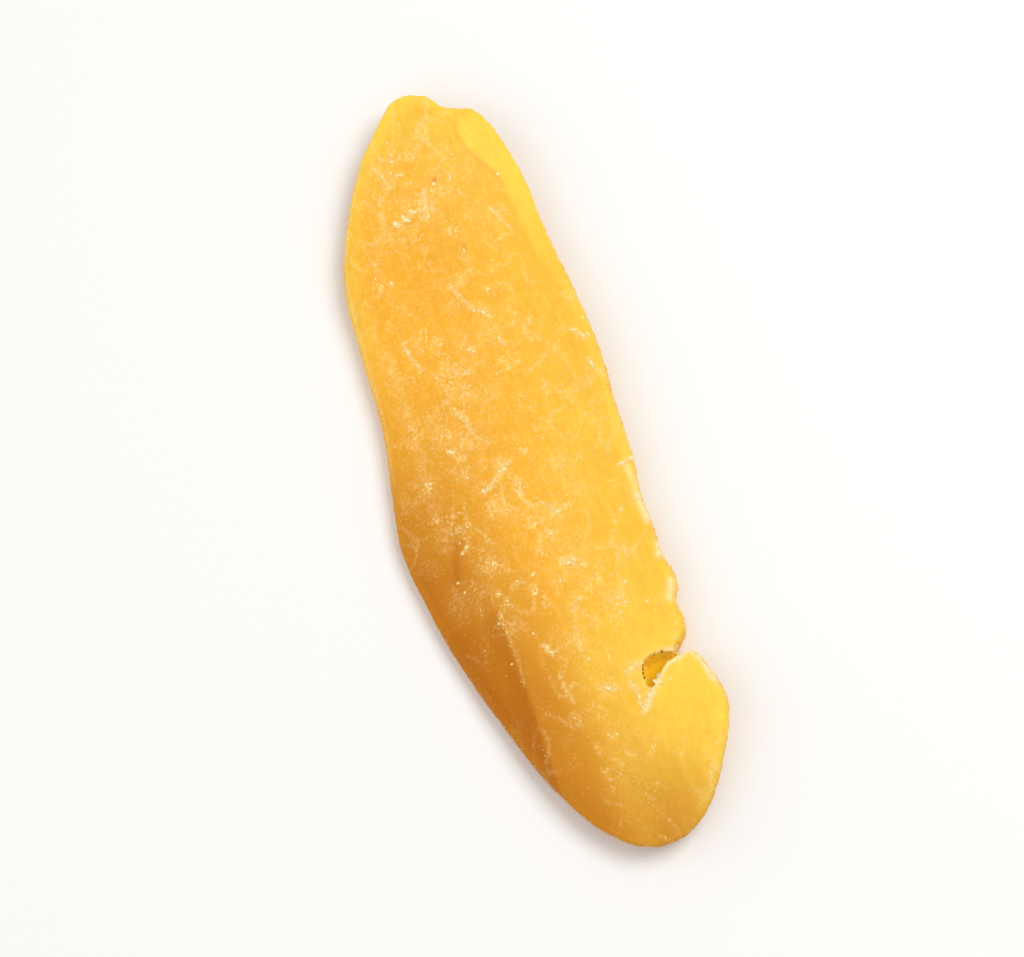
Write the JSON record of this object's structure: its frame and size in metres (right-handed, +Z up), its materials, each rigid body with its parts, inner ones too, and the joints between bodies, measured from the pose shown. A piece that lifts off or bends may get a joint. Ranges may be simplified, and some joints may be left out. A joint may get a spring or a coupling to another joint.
{
  "type": "dried mango slice",
  "caption": "Long leaf-shaped slice of dried mango, gently curled, with a humped top end, a peeled bevel strip and a tear with a raised flap at the lower right edge.",
  "frame": {"origin": "middle of the bounding box, at the height of the flat patch of the underside that the slice rests on", "axes": "+Y along the slice, from its torn lower end to its humped top end; +X to its right edge, where the tear is; +Z up through its thickness, out of the cut face that shows"},
  "size_m": [0.038, 0.1208, 0.0068],
  "materials": {
    "flesh": "dried fruit flesh, semi-matte and slightly translucent: amber yellow in the middle, paler yellow at the edges, with a fine whitish sugar bloom"
  },
  "bodies": {
    "root": {"mango_slice": "flesh"}
  },
  "joints": []
}
